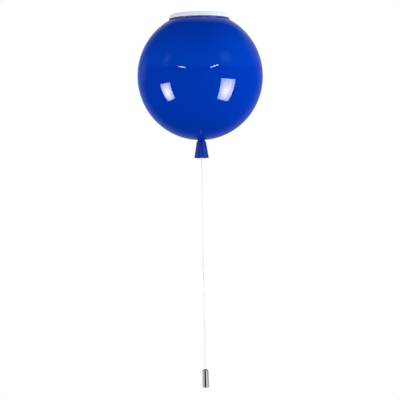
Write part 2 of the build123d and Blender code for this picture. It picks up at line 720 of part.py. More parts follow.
CONTACT_X = SWITCH_RIGHT + 4.6
POLE_EXIT = BLOCK_Y - BLOCK_DEPTH / 2 + 3
wire(
    "live_wire",
    [
        (POLES[2], POLE_EXIT, POLE_Z),
        (POLES[2], 14.5, POLE_Z),
        (2, 12.5, -19),
        (CONTACT_X - 6, 14.5, CONTACT_LEVELS[0]),
        (CONTACT_X, 12, CONTACT_LEVELS[0]),
        (CONTACT_X, 3.8, CONTACT_LEVELS[0]),
    ],
    [3.5, 8, 6, 3],
)
wire(
    "switched_wire",
    [
        (CONTACT_X, 5.4, CONTACT_LEVELS[1]),
        (CONTACT_X, -10, CONTACT_LEVELS[1]),
        (12, -14, -21),
        (-14, -13, -18),
        (TERMINAL_PLACES[1][0], 0, -20),
        (TERMINAL_PLACES[1][0], 0, HOLDER_ROOF + 1.5),
    ],
    [5, 14, 8, 4],
)
wire(
    "neutral_wire",
    [
        (POLES[1], POLE_EXIT, POLE_Z),
        (POLES[1], 14, POLE_Z),
        (-30, 8, -18),
        (TERMINAL_PLACES[0][0], 0, -20),
        (TERMINAL_PLACES[0][0], 0, HOLDER_ROOF + 1.5),
    ],
    [4, 4, 3.5],
)
wire(
    "earth_wire",
    [
        (POLES[0], POLE_EXIT, POLE_Z),
        (POLES[0], 15, POLE_Z),
        (-43, 3, -20),
        (-38, -22, -22),
        (-16, -31, -24),
        (4, -28, FLOOR_TOP + 1.9),
        (EARTH[0] - 7, EARTH[1], FLOOR_TOP + 1.9),
    ],
    [4, 9, 12, 14, 16],
)

# -------------------------------------------------------------------------- globe

with BuildPart() as globe:
    with BuildSketch(Plane.XZ):
        with Locations((0, GLOBE_CENTRE)):
            Ellipse(GLOBE_RADIUS, GLOBE_HALF_HEIGHT)
            Ellipse(GLOBE_RADIUS - GLOBE_WALL, GLOBE_HALF_HEIGHT - GLOBE_WALL, mode=Mode.SUBTRACT)
        with Locations((0, COLLAR_BOTTOM + 0.6)):
            Rectangle(
                4 * GLOBE_RADIUS,
                40,
                align=(Align.CENTER, Align.MIN),
                mode=Mode.SUBTRACT,
            )
        with Locations(((COLLAR_BORE + COLLAR_RADIUS) / 2, (COLLAR_TOP + COLLAR_BOTTOM) / 2)):
            Rectangle(COLLAR_RADIUS - COLLAR_BORE, COLLAR_TOP - COLLAR_BOTTOM)
        with Locations((GLOBE_HOLE_RADIUS, GLOBE_CENTRE)):
            Rectangle(
                4 * GLOBE_RADIUS,
                4 * GLOBE_RADIUS,
                align=(Align.MAX, Align.CENTER),
                mode=Mode.SUBTRACT,
            )
    revolve(axis=Axis.Z)
keep(globe, "globe")

# --------------------------------------------------------------------------- neck

with BuildPart() as neck_gasket:
    upright(NECK_BOSS_RADIUS, NECK_TOP, GLOBE_BOTTOM + 0.2)
    upright(GLOBE_HOLE_RADIUS, NECK_TOP, GLOBE_BOTTOM + 0.2, Mode.SUBTRACT)
    with BuildSketch(Plane.XZ):
        with Locations((0, GLOBE_CENTRE)):
            Ellipse(GLOBE_RADIUS, GLOBE_HALF_HEIGHT)
        with Locations((0, GLOBE_CENTRE)):
            Rectangle(
                2 * GLOBE_RADIUS,
                4 * GLOBE_RADIUS,
                align=(Align.MAX, Align.CENTER),
                mode=Mode.SUBTRACT,
            )
    revolve(axis=Axis.Z, mode=Mode.SUBTRACT)
keep(neck_gasket, "neck_gasket")


def fluted(radius):
    """Points of a fluted outline, with a groove at the front turned a little to the left."""
    count = NECK_FLUTES * 8
    points = []
    for step in range(count):
        angle = tau * step / count
        reach = radius * (1 - NECK_FLUTE_DEPTH * (1 + cos(NECK_FLUTES * angle)) / 2)
        turn = angle - pi / 2 - radians(NECK_TURN)
        points.append((reach * cos(turn), reach * sin(turn)))
    return points


NECK_SHOULDER = NECK_TOP - 2.0
CAVITY_SHARE = (NECK_CAVITY_TOP - NECK_BOTTOM) / (NECK_SHOULDER - NECK_BOTTOM)
CAVITY_TOP_RADIUS = NECK_BOTTOM_RADIUS + CAVITY_SHARE * (NECK_TOP_RADIUS - NECK_BOTTOM_RADIUS)
with BuildPart() as balloon_neck:
    for level, radius in ((NECK_BOTTOM, NECK_BOTTOM_RADIUS), (NECK_SHOULDER, NECK_TOP_RADIUS)):
        with BuildSketch(Plane.XY.offset(level)):
            with BuildLine():
                Spline(*fluted(radius), periodic=True)
            make_face()
    loft()
    for level, radius in ((NECK_BOTTOM, NECK_BOTTOM_RADIUS), (NECK_CAVITY_TOP, CAVITY_TOP_RADIUS)):
        with BuildSketch(Plane.XY.offset(level)):
            with BuildLine():
                Spline(*fluted(radius - NECK_WALL), periodic=True)
            make_face()
    loft(mode=Mode.SUBTRACT)
    upright(NECK_BOSS_RADIUS, NECK_SHOULDER - 1, NECK_TOP)
    upright(BOLT_RADIUS + 0.03, NECK_CAVITY_TOP, NECK_TOP, Mode.SUBTRACT)
keep(balloon_neck, "balloon_neck")

INNER_FLOOR = GLOBE_BOTTOM + GLOBE_WALL
SEAT = INNER_FLOOR + 0.6
turned(
    "bushing_washer",
    [(BOLT_RADIUS + 0.1, SEAT), (9.0, SEAT), (9.0, SEAT + 1.2), (BOLT_RADIUS + 0.1, SEAT + 1.2)],
)
turned(
    "cord_bushing",
    [
        (BOLT_BORE, BOLT_END),
        (BOLT_RADIUS - 0.6, BOLT_END),
        (BOLT_RADIUS, BOLT_END + 0.6),
        (BOLT_RADIUS, SEAT + 1.2),
        (8.0, SEAT + 1.2),
        (8.0, SEAT + 3.0),
        (7.2, SEAT + 3.8),
        (BOLT_BORE + 0.8, SEAT + 3.8),
        (BOLT_BORE, SEAT + 3.0),
    ],
)

# ---------------------------------------------------------------- cord and weight

with BuildPart() as pull_cord:
    upright(CORD_RADIUS, CORD_END, CORD_TOP)
keep(pull_cord, "pull_cord")

with BuildPart() as cord_weight:
    with BuildSketch(Plane.XZ):
        with BuildLine():
            Polyline(
                (0, WEIGHT_BOTTOM),
                (WEIGHT_BOTTOM_RADIUS, WEIGHT_BOTTOM),
                (WEIGHT_TOP_RADIUS, WEIGHT_TOP),
                (0, WEIGHT_TOP),
                close=True,
            )
        make_face()
    revolve(axis=Axis.Z)
    chamfer(cord_weight.edges().group_by(Axis.Z)[-1], WEIGHT_TOP_BEVEL)
    fillet(cord_weight.edges().group_by(Axis.Z)[0], WEIGHT_BOTTOM_ROUND)
    upright(CORD_RADIUS + 0.2, WEIGHT_BOTTOM, WEIGHT_TOP, Mode.SUBTRACT)
    upright(WEIGHT_POCKET_RADIUS, WEIGHT_BOTTOM, WEIGHT_POCKET_TOP, Mode.SUBTRACT)
keep(cord_weight, "cord_weight")

KNOT_TURN_RADIUS = 1.05
KNOT_Z = WEIGHT_POCKET_TOP - KNOT_TURN_RADIUS - 0.1
with BuildPart() as end_knot:
    with Locations((0, 0, KNOT_Z), (0, 0, KNOT_Z - 2 * KNOT_TURN_RADIUS - 0.1)):
        Torus(CORD_RADIUS + KNOT_TURN_RADIUS + 0.05, KNOT_TURN_RADIUS)
keep(end_knot, "end_knot")

PLUG_LOW = WEIGHT_BOTTOM + 0.3
with BuildPart() as weight_plug:
    upright(WEIGHT_POCKET_RADIUS - 0.02, PLUG_LOW, PLUG_LOW + PLUG_THICKNESS)
    chamfer(weight_plug.edges().group_by(Axis.Z)[0], 0.4)
keep(weight_plug, "weight_plug")
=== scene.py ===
"""Detailed model and studio picture of the balloon ceiling light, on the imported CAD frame.

Lengths are in metres. The ceiling is at Z = 0, and the front faces -Y.
"""

from math import asin, cos, hypot, pi, radians, sin, tan, tau

import bmesh
import bpy
from mathutils import Matrix, Vector


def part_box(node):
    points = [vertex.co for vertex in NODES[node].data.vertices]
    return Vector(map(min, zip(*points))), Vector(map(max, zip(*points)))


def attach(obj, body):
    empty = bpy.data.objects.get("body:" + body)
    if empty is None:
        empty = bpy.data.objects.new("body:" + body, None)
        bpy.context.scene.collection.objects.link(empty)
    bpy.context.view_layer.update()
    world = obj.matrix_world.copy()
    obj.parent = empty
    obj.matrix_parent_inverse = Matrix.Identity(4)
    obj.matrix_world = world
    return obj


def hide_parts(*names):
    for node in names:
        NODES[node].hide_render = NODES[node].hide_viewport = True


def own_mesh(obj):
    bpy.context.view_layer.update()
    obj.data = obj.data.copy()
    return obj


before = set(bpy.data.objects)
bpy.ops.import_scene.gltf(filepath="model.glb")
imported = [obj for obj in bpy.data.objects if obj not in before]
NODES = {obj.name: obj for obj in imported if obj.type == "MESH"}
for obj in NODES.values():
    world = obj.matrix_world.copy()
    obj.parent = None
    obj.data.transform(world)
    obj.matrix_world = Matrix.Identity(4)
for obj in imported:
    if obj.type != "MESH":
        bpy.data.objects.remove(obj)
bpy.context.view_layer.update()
scene = bpy.context.scene

MM = 0.001

# ------------------------------------------------------------------ places, from the frame

globe_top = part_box("globe")[1]
pan_low, pan_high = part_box("canopy_pan")
neck_low, neck_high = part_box("balloon_neck")
cord_low, cord_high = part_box("pull_cord")
weight_low, weight_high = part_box("cord_weight")
cap_low, cap_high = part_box("bulb_cap")

# A hair inside the CAD globe
GLOBE_RADIUS = globe_top.x - 0.02 * MM
GLOBE_HALF_HEIGHT = 127.3 * MM
GLOBE_CENTRE = -122.8 * MM
GLOBE_WALL = 2.5 * MM
GLOBE_HOLE = 5.2 * MM
COLLAR_RADIUS = 60.2 * MM
COLLAR_BORE = 53.5 * MM
COLLAR_TOP = globe_top.z
COLLAR_BOTTOM = COLLAR_TOP - 3.5 * MM

RING_TOP_RADIUS = 56.5 * MM
RING_BASE_RADIUS = pan_high.x
RING_HEIGHT = 8.5 * MM
RING_SHOULDER = 2.6 * MM
SHEET = 1.2 * MM
CUP_RADIUS = 52.5 * MM
CUP_FLOOR = pan_low.z
# Heading in degrees, width and height: the cable's notch, and a wide shallow one
NOTCHES = [(-60, 4.0 * MM, 2.5 * MM), (-169, 26.0 * MM, 1.7 * MM)]
NOTCH_LENGTH = 14 * MM

CORD_RADIUS = cord_high.x
CORD_TOP = cord_high.z
CORD_END = cord_low.z
LAMP_X = (cap_low.x + cap_high.x) / 2

# --------------------------------------------------------------------------------- camera

PICTURE_WIDTH = 797.1 * MM
CAMERA_DISTANCE = 3.03
CAMERA_PLACE = Vector((-4.7 * MM, -CAMERA_DISTANCE, -369.4 * MM))
CAMERA_ROLL = radians(-1.02)
SENSOR_WIDTH = 36

camera_data = bpy.data.cameras.new("camera")
camera_data.sensor_width = SENSOR_WIDTH
camera_data.lens = SENSOR_WIDTH * CAMERA_DISTANCE / PICTURE_WIDTH
camera_data.clip_end = 60
camera = bpy.data.objects.new("camera", camera_data)
camera.matrix_world = (
    Matrix.Translation(CAMERA_PLACE)
    @ Matrix.Rotation(radians(90), 4, "X")
    @ Matrix.Rotation(CAMERA_ROLL, 4, "Z")
)
scene.collection.objects.link(camera)
scene.camera = camera
scene.view_settings.view_transform = "Standard"

# ------------------------------------------------------------------------------ materials

# Broad blotches have this share of the fine grain's features per metre
BLOTCHES = 0.12


def material(name):
    """A new node material, its node tree and its Principled shader."""
    made = bpy.data.materials.new(name)
    made.use_nodes = True
    shader = made.node_tree.nodes["Principled BSDF"]
    return made, made.node_tree, shader


def noise(tree, scale, detail=3.0, rough=0.5, stretch=(1, 1, 1)):
    """Noise over the object's own coordinates, scale in features per metre."""
    place = tree.nodes.new("ShaderNodeTexCoord")
    mapping = tree.nodes.new("ShaderNodeMapping")
    mapping.inputs["Scale"].default_value = stretch
    texture = tree.nodes.new("ShaderNodeTexNoise")
    texture.inputs["Scale"].default_value = scale
    texture.inputs["Detail"].default_value = detail
    texture.inputs["Roughness"].default_value = rough
    tree.links.new(place.outputs["Object"], mapping.inputs["Vector"])
    tree.links.new(mapping.outputs["Vector"], texture.inputs["Vector"])
    return texture.outputs["Fac"]


def blend_colours(tree, factor, first, second):
    """A colour between two, by a factor."""
    mix = tree.nodes.new("ShaderNodeMix")
    mix.data_type = "RGBA"
    mix.inputs["A"].default_value = (*first, 1)
    mix.inputs["B"].default_value = (*second, 1)
    tree.links.new(factor, mix.inputs["Factor"])
    return mix.outputs["Result"]


def span(tree, factor, low, high, start=0.3, end=0.7):
    """A factor from start to end, spread over the range low to high."""
    spread = tree.nodes.new("ShaderNodeMapRange")
    spread.inputs["From Min"].default_value = start
    spread.inputs["From Max"].default_value = end
    spread.inputs["To Min"].default_value = low
    spread.inputs["To Max"].default_value = high
    tree.links.new(factor, spread.inputs["Value"])
    return spread.outputs["Result"]


def flat_reach(tree, vector):
    """The length of a vector, without its Z."""
    flat = tree.nodes.new("ShaderNodeVectorMath")
    flat.operation = "MULTIPLY"
    flat.inputs[1].default_value = (1, 1, 0)
    length = tree.nodes.new("ShaderNodeVectorMath")
    length.operation = "LENGTH"
    tree.links.new(vector, flat.inputs[0])
    tree.links.new(flat.outputs["Vector"], length.inputs[0])
    return length.outputs["Value"]


def relief(tree, shader, height, strength, depth):
    """Bump from a height, adding to any bump already there."""
    bump = tree.nodes.new("ShaderNodeBump")
    bump.inputs["Strength"].default_value = strength
    bump.inputs["Distance"].default_value = depth
    tree.links.new(height, bump.inputs["Height"])
    if shader.inputs["Normal"].is_linked:
        tree.links.new(shader.inputs["Normal"].links[0].from_socket, bump.inputs["Normal"])
    tree.links.new(bump.outputs["Normal"], shader.inputs["Normal"])


def finish(name, colour, worn, gloss, grain, bump, metal=0.0, ior=1.5, stretch=(1, 1, 1)):
    """A material with two-tone colour, uneven roughness and fine relief.

    gloss is the lowest and highest roughness; grain the relief's features per metre; bump
    the relief's strength and depth.
    """
    made, tree, shader = material(name)
    shader.inputs["Metallic"].default_value = metal
    shader.inputs["IOR"].default_value = ior
    broad = noise(tree, grain * BLOTCHES, stretch=stretch)
    fine = noise(tree, grain, detail=5.0, rough=0.6, stretch=stretch)
    two_tone = blend_colours(tree, span(tree, broad, 0, 1), colour, worn)
    tree.links.new(two_tone, shader.inputs["Base Color"])
    tree.links.new(span(tree, fine, *gloss), shader.inputs["Roughness"])
    relief(tree, shader, fine, *bump)
    return made


BLUE = (0.0, 0.040, 0.455)
BLUE_DEEP = (0.0, 0.036, 0.435)
# The collar lip's colour is painted shade under the white ring, greyed by a painted reflection of
# haze
LIP_SHADE = (0.05, 0.075, 0.33)
LIP_SHADE_START = COLLAR_BOTTOM + 0.4 * MM
LIP_SHADE_END = COLLAR_BOTTOM + 1.2 * MM

globe_blue, tree, shader = material("globe_acrylic")
shader.inputs["IOR"].default_value = 1.49
cloud = noise(tree, 9, detail=2.0)
haze = noise(tree, 260, detail=6.0, rough=0.65)
body_blue = blend_colours(tree, span(tree, cloud, 0, 1), BLUE, BLUE_DEEP)
place = tree.nodes.new("ShaderNodeTexCoord")
split = tree.nodes.new("ShaderNodeSeparateXYZ")
tree.links.new(place.outputs["Object"], split.inputs["Vector"])
# Above this height the collar lip gets the painted shade and reflection colour
near_collar = span(tree, split.outputs["Z"], 0, 1, start=LIP_SHADE_START, end=LIP_SHADE_END)
painted_lip_shade = blend_colours(tree, near_collar, (0, 0, 0), LIP_SHADE)
tree.links.new(body_blue, painted_lip_shade.node.inputs["A"])
tree.links.new(painted_lip_shade, shader.inputs["Base Color"])
# Perfectly sharp gloss: the world shows its horizon line to such rays only
shader.inputs["Roughness"].default_value = 0.0
relief(tree, shader, noise(tree, 14, detail=1.0), 0.10, 0.4 * MM)
relief(tree, shader, haze, 0.15, 0.01 * MM)

neck_blue = finish(
    "neck_vinyl",
    (0.0, 0.024, 0.30),
    (0.0, 0.032, 0.36),
    (0.12, 0.18),
    900,
    (0.1, 0.03 * MM),
    ior=1.36,
)
# White powder coat whose blue tint is painted bounce light from the blue globe
ring_white_blue_bounce = finish(
    "ring_powder_coat",
    (0.80, 0.84, 0.91),
    (0.76, 0.80, 0.87),
    (0.34, 0.48),
    1500,
    (0.35, 0.05 * MM),
)
zinc = finish(
    "zinc_plate",
    (0.66, 0.67, 0.68),
    (0.52, 0.54, 0.56),
    (0.22, 0.42),
    1400,
    (0.20, 0.03 * MM),
    metal=1.0,
)
spring_steel = finish(
    "spring_steel",
    (0.46, 0.47, 0.49),
    (0.34, 0.36, 0.40),
    (0.20, 0.34),
    2200,
    (0.22, 0.02 * MM),
    metal=1.0,
    stretch=(1, 1, 0.12),
)
brass = finish(
    "machined_brass",
    (0.80, 0.60, 0.27),
    (0.62, 0.43, 0.16),
    (0.18, 0.36),
    2600,
    (0.22, 0.02 * MM),
    metal=1.0,
)
nickel = finish(
    "nickel_plate",
    (0.74, 0.72, 0.67),
    (0.62, 0.60, 0.56),
    (0.12, 0.26),
    1800,
    (0.14, 0.02 * MM),
    metal=1.0,
)
polyamide = finish(
    "block_polyamide", (0.82, 0.82, 0.77), (0.74, 0.74, 0.68), (0.38, 0.55), 1700, (0.30, 0.05 * MM)
)
phenolic = finish(
    "switch_phenolic",
    (0.045, 0.045, 0.048),
    (0.075, 0.072, 0.070),
    (0.30, 0.50),
    1300,
    (0.30, 0.05 * MM),
)
acetal = finish(
    "switch_acetal",
    (0.80, 0.77, 0.68),
    (0.74, 0.71, 0.61),
    (0.30, 0.45),
    1500,
    (0.2, 0.04 * MM),
)
holder_white = finish(
    "holder_thermoplastic",
    (0.80, 0.80, 0.77),
    (0.74, 0.73, 0.69),
    (0.30, 0.46),
    1200,
    (0.28, 0.05 * MM),
)
steatite = finish(
    "steatite",
    (0.86, 0.83, 0.77),
    (0.76, 0.73, 0.67),
    (0.55, 0.75),
    2400,
    (0.55, 0.08 * MM),
)
vitrite = finish(
    "vitrite",
    (0.012, 0.012, 0.018),
    (0.03, 0.03, 0.04),
    (0.05, 0.16),
    900,
    (0.25, 0.06 * MM),
)
lamp_white = finish(
    "lamp_housing", (0.86, 0.86, 0.85), (0.80, 0.80, 0.79), (0.30, 0.44), 1300, (0.2, 0.04 * MM)
)
board_white = finish(
    "led_board", (0.85, 0.86, 0.82), (0.74, 0.76, 0.72), (0.35, 0.5), 900, (0.2, 0.04 * MM)
)
rubber = finish(
    "sealing_rubber",
    (0.001, 0.002, 0.14),
    (0.002, 0.003, 0.18),
    (0.5, 0.7),
    2200,
    (0.4, 0.05 * MM),
    ior=1.3,
)
diffuser = finish(
    "frosted_polycarbonate",
    (0.90, 0.90, 0.87),
    (0.85, 0.85, 0.82),
    (0.34, 0.48),
    1900,
    (0.18, 0.03 * MM),
)
shader = diffuser.node_tree.nodes["Principled BSDF"]
shader.inputs["Subsurface Weight"].default_value = 0.3
shader.inputs["Subsurface Radius"].default_value = (2 * MM,) * 3


def insulation(name, colour, worn):
    """Wire insulation: plastic with a low sheen and a fine grain."""
    return finish(name, colour, worn, (0.28, 0.42), 1600, (0.25, 0.04 * MM))


wire_brown = insulation("wire_brown", (0.13, 0.045, 0.02), (0.17, 0.06, 0.028))
wire_blue = insulation("wire_blue", (0.015, 0.09, 0.42), (0.02, 0.12, 0.48))
wire_green = insulation("wire_green", (0.05, 0.30, 0.04), (0.42, 0.46, 0.03))

cord_white, tree, shader = material("braided_polyester")
shader.inputs["Sheen Weight"].default_value = 0.25
soil = noise(tree, 60, detail=3.0)
fibre = noise(tree, 5200, detail=4.0, stretch=(1, 1, 0.35))
tree.links.new(
    blend_colours(tree, span(tree, soil, 0, 1), (0.84, 0.84, 0.85), (0.78, 0.78, 0.79)),
    shader.inputs["Base Color"],
)
tree.links.new(span(tree, fibre, 0.6, 0.85), shader.inputs["Roughness"])
relief(tree, shader, fibre, 0.5, 0.06 * MM)

chrome, tree, shader = material("polished_chrome")
shader.inputs["Metallic"].default_value = 1.0
smear = noise(tree, 700, detail=5.0, rough=0.6)
tree.links.new(
    blend_colours(tree, span(tree, smear, 0, 1), (0.90, 0.90, 0.92), (0.85, 0.85, 0.87)),
    shader.inputs["Base Color"],
)
tree.links.new(span(tree, smear, 0.03, 0.07), shader.inputs["Roughness"])
relief(tree, shader, noise(tree, 2600, detail=3.0), 0.03, 0.005 * MM)

# --------------------------------------------------------------------------- mesh helpers

# Points nearer than this are one point
SAME_SPOT = 0.002 * MM


def as_mesh(bm, name):
    """The finished mesh of a bmesh, which is freed."""
    mesh = bpy.data.meshes.new(name)
    bm.to_mesh(mesh)
    bm.free()
    return mesh


def show(name, mesh, body, look, stands_for, sharp=40):
    """A finished piece, smooth below the sharp angle, in place of the CAD nodes it stands for."""
    mesh.materials.append(look)
    for face in mesh.polygons:
        face.use_smooth = True
    mesh.set_sharp_from_angle(angle=radians(sharp))
    made = bpy.data.objects.new(name, mesh)
    scene.collection.objects.link(made)
    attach(made, body)
    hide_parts(*stands_for)
    return made


def rounded(points, steps=4):
    """An (r, z) outline from corners (r, z, bend): each bend is a short curve of that reach."""
    outline = []
    count = len(points)
    for index, (r, z, bend) in enumerate(points):
        if not bend:
            outline.append((r, z))
            continue
        corner = Vector((r, z))
        before = Vector(points[index - 1][:2]) - corner
        after = Vector(points[(index + 1) % count][:2]) - corner
        start = corner + before.normalized() * min(bend, before.length * 0.49)
        end = corner + after.normalized() * min(bend, after.length * 0.49)
        for step in range(steps + 1):
            t = step / steps
            spot = start * (1 - t) ** 2 + corner * (2 * t * (1 - t)) + end * t**2
            outline.append(tuple(spot))
    return outline


def lathe(name, outline, steps, shape=None):
    """A turned mesh from a closed (r, z) outline. shape(turn, r, z) may move each point."""
    bm = bmesh.new()
    rows = []
    for r, z in outline:
        if r < 1e-7:
            rows.append([bm.verts.new((0, 0, z))] * steps)
            continue
        row = []
        for step in range(steps):
            turn = tau * step / steps
            reach, height = shape(turn, r, z) if shape else (r, z)
            row.append(bm.verts.new((reach * cos(turn), reach * sin(turn), height)))
        rows.append(row)
    for a, b in zip(rows, rows[1:] + rows[:1]):
        for step in range(steps):
            beside = (step + 1) % steps
            corners = dict.fromkeys((a[step], a[beside], b[beside], b[step]))
            if len(corners) > 2:
                bm.faces.new(corners)
    bmesh.ops.recalc_face_normals(bm, faces=bm.faces)
    return as_mesh(bm, name)


def tube(name, rows):
    """A closed tube through rows of points, each row a ring around its line."""
    bm = bmesh.new()
    rings = [[bm.verts.new(point) for point in row] for row in rows]
    for a, b in zip(rings, rings[1:]):
        for side in range(len(a)):
            beside = (side + 1) % len(a)
            bm.faces.new((a[side], a[beside], b[beside], b[side]))
    bm.faces.new(rings[0])
    bm.faces.new(rings[-1])
    bmesh.ops.recalc_face_normals(bm, faces=bm.faces)
    return as_mesh(bm, name)


def box_mesh(size, place):
    """A closed box mesh placed by a matrix, for cutting."""
    bm = bmesh.new()
    bmesh.ops.create_cube(bm, size=1)
    bmesh.ops.scale(bm, vec=size, verts=bm.verts)
    bmesh.ops.transform(bm, matrix=place, verts=bm.verts)
    return as_mesh(bm, "cutter")


def rod_mesh(radius, length, place):
    """A closed rod mesh along its own Z, placed by a matrix, for cutting."""
    bm = bmesh.new()
    bmesh.ops.create_cone(
        bm, cap_ends=True, segments=32, radius1=radius, radius2=radius, depth=length
    )
    bmesh.ops.transform(bm, matrix=place, verts=bm.verts)
    return as_mesh(bm, "cutter")


def evaluated_mesh(source):
    """A new mesh of an object with its modifiers, or of a curve."""
    bpy.context.view_layer.update()
    depsgraph = bpy.context.evaluated_depsgraph_get()
    return bpy.data.meshes.new_from_object(source.evaluated_get(depsgraph))


def cut(mesh, cutters):
    """The mesh with the cutters' shapes taken away, and no stray faces left by the cuts."""
    body = bpy.data.objects.new("cut_body", mesh)
    scene.collection.objects.link(body)
    tools = []
    for cutter in cutters:
        tool = bpy.data.objects.new("cutter", cutter)
        scene.collection.objects.link(tool)
        tools.append(tool)
        modifier = body.modifiers.new("cut", "BOOLEAN")
        modifier.operation = "DIFFERENCE"
        modifier.solver = "EXACT"
        modifier.object = tool
    result = evaluated_mesh(body)
    for used in [body, *tools]:
        bpy.data.objects.remove(used)
    bm = bmesh.new()
    bm.from_mesh(result)
    bmesh.ops.remove_doubles(bm, verts=bm.verts, dist=SAME_SPOT)
    bmesh.ops.dissolve_degenerate(bm, dist=SAME_SPOT, edges=bm.edges)
    bmesh.ops.triangulate(bm, faces=[face for face in bm.faces if len(face.verts) > 4])
    bmesh.ops.dissolve_degenerate(bm, dist=SAME_SPOT, edges=bm.edges)
    bm.to_mesh(result)
    bm.free()
    return result


# ------------------------------------------------------------------------------ pull cord

CORD_ROUTE = [
    (0, 0, CORD_TOP),
    (0, 0, (CORD_TOP + neck_high.z) / 2),
    (0, 0, neck_high.z),
    (0, 0, (neck_low.z + weight_high.z) / 2),
    (0, 0, CORD_END),
]
BRAID_STRANDS = 8
BRAID_LAY = 9 * MM
BRAID_RELIEF = 0.07 * MM
CORD_SIDES = 16
CORD_STEP = 0.55 * MM


def route_points(route):
    """Points along a smooth NURBS line through the cord's route."""
    curve = bpy.data.curves.new("route", "CURVE")
    curve.dimensions = "3D"
    spline = curve.splines.new("NURBS")
    spline.points.add(len(route) - 1)
    for point, spot in zip(spline.points, route):
        point.co = (*spot, 1)
    spline.order_u = 3
    spline.use_endpoint_u = True
    spline.resolution_u = 16
    line = bpy.data.objects.new("route", curve)
    scene.collection.objects.link(line)
    mesh = evaluated_mesh(line)
    points = [vertex.co.copy() for vertex in mesh.vertices]
    bpy.data.objects.remove(line)
    bpy.data.meshes.remove(mesh)
    return points


def braided_rows(points, radius):
    """Rings of points along a line, with the herringbone relief of a braid."""
    rows = []
    travelled = 0.0
    for a, b in zip(points, points[1:]):
        run = b - a
        count = max(1, round(run.length / CORD_STEP))
        for index in range(count + (b is points[-1])):
            spot = a + run * (index / count)
            along = travelled + run.length * index / count
            row = []
            for side in range(CORD_SIDES):
                turn = tau * side / CORD_SIDES
                left = sin(BRAID_STRANDS * (turn / 2 + pi * along / BRAID_LAY))
                right = sin(BRAID_STRANDS * (turn / 2 - pi * along / BRAID_LAY))
                reach = radius - BRAID_RELIEF * (1 - max(left, right)) / 2
                row.append(spot + Vector((reach * cos(turn), reach * sin(turn), 0)))
            rows.append(row)
        travelled += run.length
    return rows


cord_line = route_points(CORD_ROUTE)
cord = show(
    "braided_cord",
    tube("braided_cord", braided_rows(cord_line, CORD_RADIUS)),
    "pull",
    cord_white,
    ["pull_cord"],
    sharp=80,
)

# ------------------------------------------------------------------------------------ globe


def globe_arc(shrink, low_angle, high_angle, steps):
    """Points of the globe's ellipse, made smaller by shrink, between two angles from the bottom."""
    angles = [low_angle + (high_angle - low_angle) * step / steps for step in range(steps + 1)]
    return [
        (
            (GLOBE_RADIUS - shrink) * sin(angle),
            GLOBE_CENTRE - (GLOBE_HALF_HEIGHT - shrink) * cos(angle),
        )
        for angle in angles
    ]


GROOVE = 0.5 * MM
LIP_FACE = COLLAR_BOTTOM + 0.9 * MM
OUTER_EDGE = COLLAR_RADIUS + 0.6 * MM
INNER_EDGE = COLLAR_RADIUS - 3.2 * MM
outer_start = asin(GLOBE_HOLE / GLOBE_RADIUS)
outer_end = pi - asin(OUTER_EDGE / GLOBE_RADIUS)
inner_radius = GLOBE_RADIUS - GLOBE_WALL
inner_start = asin(GLOBE_HOLE / inner_radius)
inner_end = pi - asin(INNER_EDGE / inner_radius)
lip = rounded(
    [
        (COLLAR_RADIUS - GROOVE, LIP_FACE, 0.3 * MM),
        (COLLAR_RADIUS, LIP_FACE + 0.5 * MM, 0.3 * MM),
        (COLLAR_RADIUS, COLLAR_TOP, 0.7 * MM),
        (COLLAR_BORE, COLLAR_TOP, 0.6 * MM),
        (COLLAR_BORE, COLLAR_BOTTOM, 0.6 * MM),
    ]
)
globe_outline = (
    globe_arc(0, outer_start, outer_end, 128)
    + lip
    + list(reversed(globe_arc(GLOBE_WALL, inner_start, inner_end, 96)))
)
globe = show(
    "globe_shell",
    lathe("globe_shell", globe_outline, 256),
    "shade",
    globe_blue,
    ["globe"],
    sharp=50,
)

# ------------------------------------------------------------------------------------- neck

FLUTES = 6
FLUTE_DEPTH = 0.15
FLUTE_TURN = radians(-95)
LOBE_SHARE = 0.25
TOP_SHARE = 0.55
NECK_BOSS = 7.2 * MM
NECK_SHOULDER = 9.45 * MM
NECK_RADIUS = 14.75 * MM
NECK_WALL = 1.5 * MM
SKIRT_RADIUS = 14.4 * MM
LIP_HEIGHT = 1.3 * MM
SCALLOP = 0.8 * MM
SCALLOP_RISE = 6 * MM
CAVITY_RADIUS = 9.4 * MM
CAVITY_TOP = -265.0 * MM
NECK_BORE = 5.03 * MM


def pleat(turn, r, z):
    """The neck's flutes: rounded lobes with narrow grooves between, and a scalloped edge."""
    share = ((turn - FLUTE_TURN) * FLUTES / tau) % 1
    crest = 2 * min(share, 1 - share)
    groove = (1 - crest) ** 3
    lobe = LOBE_SHARE * (1 - sin(crest * pi / 2))
    fade = min(1, max(0, (r - NECK_BOSS) / (NECK_SHOULDER - NECK_BOSS)))
    down = (neck_high.z - z) / (neck_high.z - neck_low.z)
    taper = TOP_SHARE + (1 - TOP_SHARE) * down
    reach = r * (1 - FLUTE_DEPTH * fade * taper * (groove + lobe) / (1 + LOBE_SHARE))
    edge = min(1, max(0, (neck_low.z + SCALLOP_RISE - z) / SCALLOP_RISE))
    return reach, z + SCALLOP * fade * edge * groove


neck_outline = rounded(
    [
        (NECK_BORE, neck_high.z, 0),
        (NECK_BOSS, neck_high.z, 0.15 * MM),
        (NECK_BOSS, neck_high.z - 0.8 * MM, 0.2 * MM),
        (NECK_SHOULDER, neck_high.z - 2.4 * MM, 0.7 * MM),
        (SKIRT_RADIUS, neck_low.z + LIP_HEIGHT, 0.8 * MM),
        (NECK_RADIUS, neck_low.z + 0.2 * MM, 0.3 * MM),
        (NECK_RADIUS - 0.5 * MM, neck_low.z, 0.2 * MM),
        (NECK_RADIUS - NECK_WALL, neck_low.z, 0.3 * MM),
        (SKIRT_RADIUS - NECK_WALL - 0.2 * MM, neck_low.z + LIP_HEIGHT, 0.5 * MM),
        (CAVITY_RADIUS, CAVITY_TOP, 0.8 * MM),
        (NECK_BORE, CAVITY_TOP, 0.2 * MM),
    ],
    steps=6,
)


